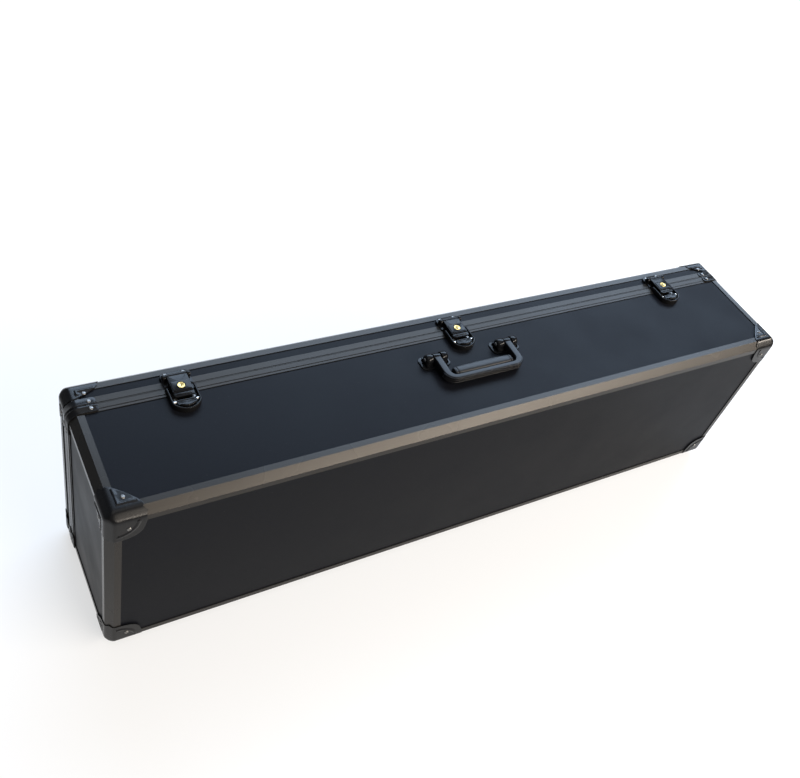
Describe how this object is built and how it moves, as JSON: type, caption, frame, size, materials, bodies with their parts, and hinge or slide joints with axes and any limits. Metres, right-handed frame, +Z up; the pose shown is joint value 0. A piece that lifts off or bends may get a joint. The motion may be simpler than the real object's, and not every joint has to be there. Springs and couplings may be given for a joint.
{
  "type": "transport case",
  "caption": "Long black aluminium-framed transport case with a hinged lid, key latches, a folding handle and a foam tray for a drone's fuselage.",
  "frame": {"origin": "middle of the footprint, on the surface that the case stands on", "axes": "+X along the case, +Y towards the lid, +Z up towards the side with the handle and the latches"},
  "size_m": [1.1666, 0.225, 0.3343],
  "materials": {
    "laminate": "plywood with a smooth black laminate, fine grain",
    "black_anodised": "satin black anodised extrusion",
    "rim_aluminium": "satin black anodised rim with drawn lines",
    "black_hardware": "black coated steel and die casting",
    "handle_plastic": "black moulded plastic",
    "grip_rubber": "black soft grip",
    "rivet_metal": "dark plated rivet heads",
    "pin_steel": "plated steel pin",
    "lock_brass": "brass key lock",
    "backing_steel": "zinc plated steel",
    "foot_rubber": "black rubber",
    "foam": "dark grey open-cell foam"
  },
  "bodies": {
    "base": {"base_bottom_edge": "black_anodised", "base_bottom_panel": "laminate", "base_corner_protectors": "black_hardware", "base_face_panel": "laminate", "base_feet": "foot_rubber", "base_foam": "foam", "base_left_edge": "black_anodised", "base_left_panel": "laminate", "base_right_edge": "black_anodised", "base_right_panel": "laminate", "base_rim": "rim_aluminium", "base_rim_brackets": "black_hardware", "base_rivets": "rivet_metal", "base_short_edges": "black_anodised", "base_top_edge": "black_anodised", "base_top_panel": "laminate", "handle_screws": "rivet_metal", "handle_backing_plate": "backing_steel", "handle_brackets": "handle_plastic", "handle_pins": "pin_steel", "latch_keepers": "black_hardware", "latch_strikes": "black_hardware", "latch_tab_pins": "pin_steel", "hinge_base_leaves": "black_hardware", "hinge_pins": "pin_steel"},
    "lid": {"lid_bottom_edge": "black_anodised", "lid_bottom_panel": "laminate", "lid_corner_protectors": "black_hardware", "lid_face_panel": "laminate", "lid_feet": "foot_rubber", "lid_foam": "foam", "lid_left_edge": "black_anodised", "lid_left_panel": "laminate", "lid_right_edge": "black_anodised", "lid_right_panel": "laminate", "lid_rim": "rim_aluminium", "lid_rim_brackets": "black_hardware", "lid_rivets": "rivet_metal", "lid_short_edges": "black_anodised", "lid_top_edge": "black_anodised", "lid_top_panel": "laminate", "latch_lid_plates": "black_hardware", "latch_hasp_pins": "pin_steel", "hinge_lid_leaves": "black_hardware"},
    "handle": {"handle_bail": "handle_plastic", "handle_ridges": "handle_plastic", "handle_grip": "grip_rubber"},
    "left_hasp": {"left_hasp": "black_hardware"},
    "left_lock": {"left_lock": "lock_brass"},
    "left_tab": {"left_latch_tab": "black_hardware"},
    "middle_hasp": {"middle_hasp": "black_hardware"},
    "middle_lock": {"middle_lock": "lock_brass"},
    "middle_tab": {"middle_latch_tab": "black_hardware"},
    "right_hasp": {"right_hasp": "black_hardware"},
    "right_lock": {"right_lock": "lock_brass"},
    "right_tab": {"right_latch_tab": "black_hardware"}
  },
  "joints": [
    {"name": "lid_hinge", "type": "hinge", "parent": "base", "child": "lid", "pos_m": [0, 0.065, 0.004], "axis": [-1, 0, 0], "range_deg": [0, 100]},
    {"name": "handle_swing", "type": "hinge", "parent": "base", "child": "handle", "pos_m": [0, 0.012, 0.3263], "axis": [-1, 0, 0], "range_deg": [0, 95]},
    {"name": "left_hasp_lift", "type": "hinge", "parent": "lid", "child": "left_hasp", "pos_m": [-0.435, 0.079, 0.3252], "axis": [-1, 0, 0], "range_deg": [0, 110]},
    {"name": "left_lock_turn", "type": "hinge", "parent": "left_hasp", "child": "left_lock", "pos_m": [-0.435, 0.058, 0.3248], "axis": [0, 0, 1], "range_deg": [0, 90]},
    {"name": "left_tab_press", "type": "hinge", "parent": "base", "child": "left_tab", "pos_m": [-0.435, 0.036, 0.3232], "axis": [-1, 0, 0], "range_deg": [0, 22], "stiffness_Nm_per_rad": 0.05, "springref_deg": -5.73},
    {"name": "middle_hasp_lift", "type": "hinge", "parent": "lid", "child": "middle_hasp", "pos_m": [0, 0.079, 0.3252], "axis": [-1, 0, 0], "range_deg": [0, 110]},
    {"name": "middle_lock_turn", "type": "hinge", "parent": "middle_hasp", "child": "middle_lock", "pos_m": [0, 0.058, 0.3248], "axis": [0, 0, 1], "range_deg": [0, 90]},
    {"name": "middle_tab_press", "type": "hinge", "parent": "base", "child": "middle_tab", "pos_m": [0, 0.036, 0.3232], "axis": [-1, 0, 0], "range_deg": [0, 22], "stiffness_Nm_per_rad": 0.05, "springref_deg": -5.73},
    {"name": "right_hasp_lift", "type": "hinge", "parent": "lid", "child": "right_hasp", "pos_m": [0.435, 0.079, 0.3252], "axis": [-1, 0, 0], "range_deg": [0, 110]},
    {"name": "right_lock_turn", "type": "hinge", "parent": "right_hasp", "child": "right_lock", "pos_m": [0.435, 0.058, 0.3248], "axis": [0, 0, 1], "range_deg": [0, 90]},
    {"name": "right_tab_press", "type": "hinge", "parent": "base", "child": "right_tab", "pos_m": [0.435, 0.036, 0.3232], "axis": [-1, 0, 0], "range_deg": [0, 22], "stiffness_Nm_per_rad": 0.05, "springref_deg": -5.73}
  ]
}
